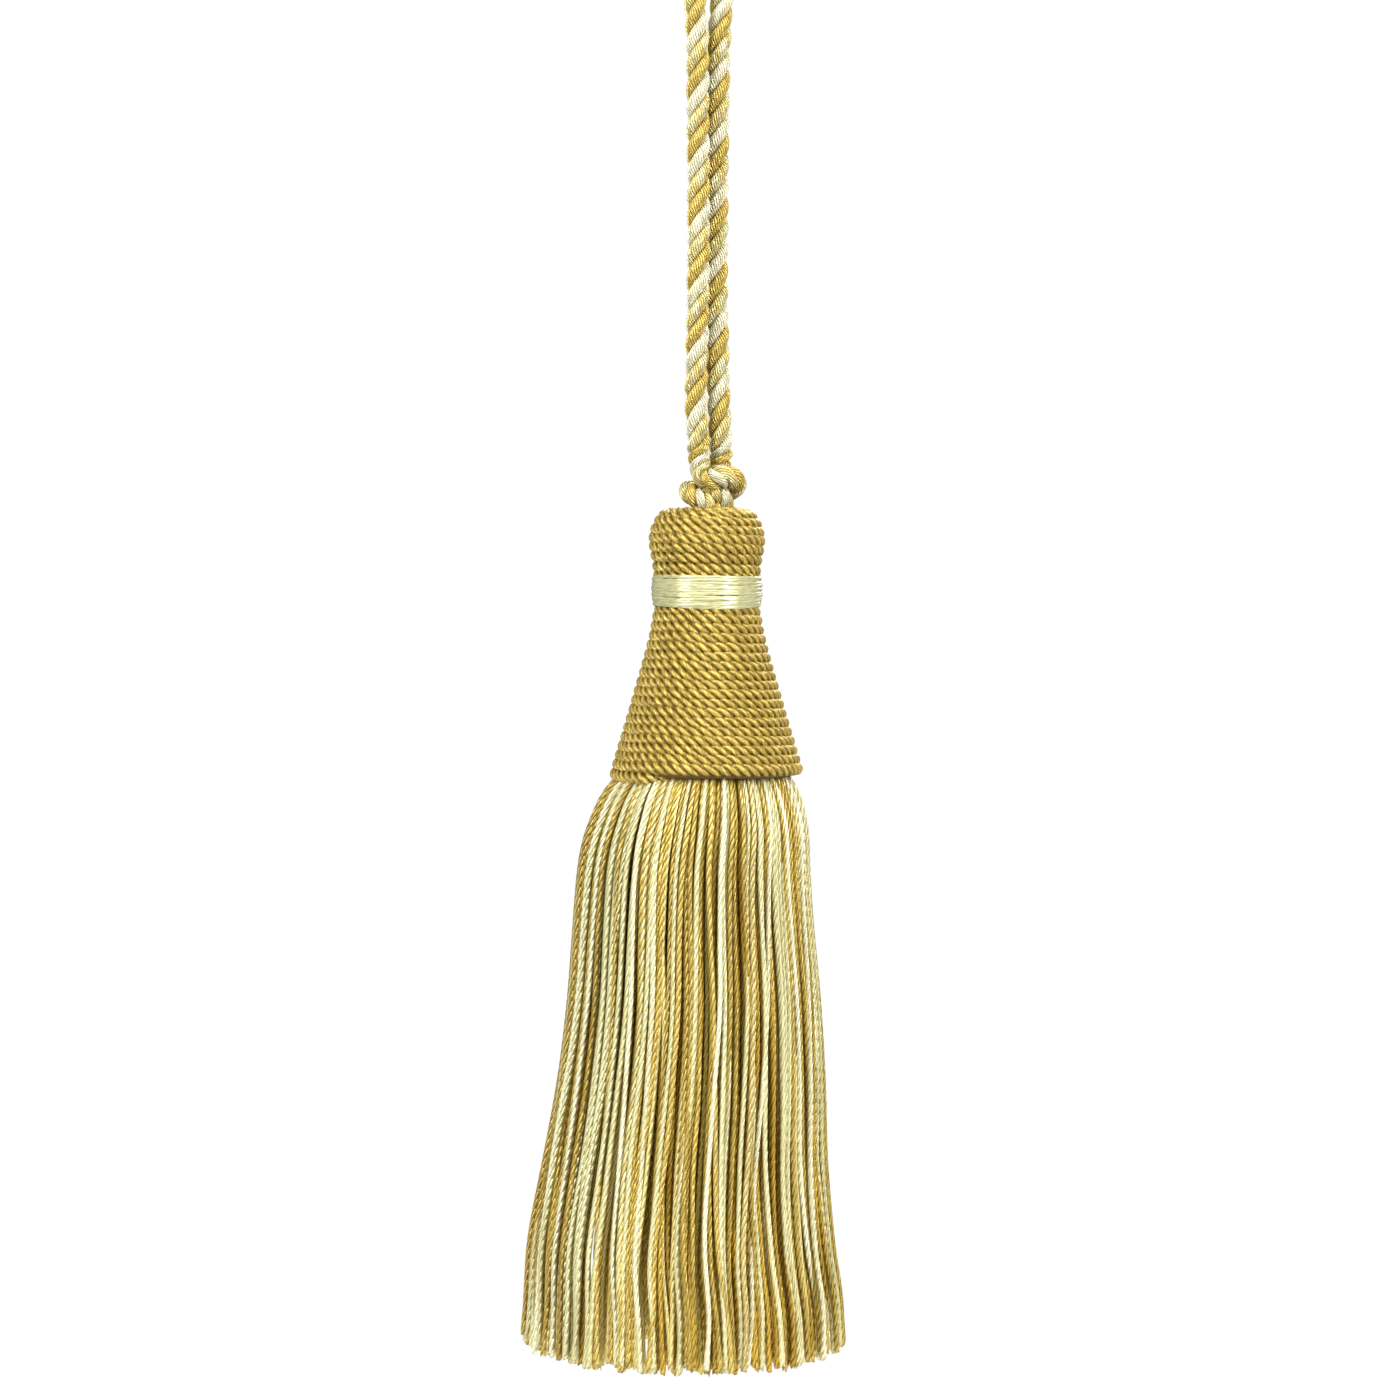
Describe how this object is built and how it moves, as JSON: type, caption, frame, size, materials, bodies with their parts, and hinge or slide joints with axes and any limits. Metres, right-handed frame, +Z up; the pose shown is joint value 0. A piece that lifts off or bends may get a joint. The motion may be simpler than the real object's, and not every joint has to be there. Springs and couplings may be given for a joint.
{
  "type": "hanging tassel",
  "caption": "Hanging tassel with a twisted cord loop, a knot, a cord-wound conical head with a pale neck band and a full skirt of cut yarn.",
  "frame": {"origin": "the point on the inner side of the cord loop's top that rests on a hook", "axes": "+Z up along the hanging tassel, +X to the right as the picture shows it, the picture's side faces -Y"},
  "size_m": [0.056, 0.0558, 0.2719],
  "materials": {
    "gold_silk": "satin",
    "cream_silk": "satin",
    "skirt_silk": "satin",
    "cord_silk": "satin"
  },
  "bodies": {
    "root": {"head": "gold_silk", "neck_band": "cream_silk", "skirt": "skirt_silk", "cord_loop": "cord_silk", "cord_knot": "cord_silk"}
  },
  "joints": []
}
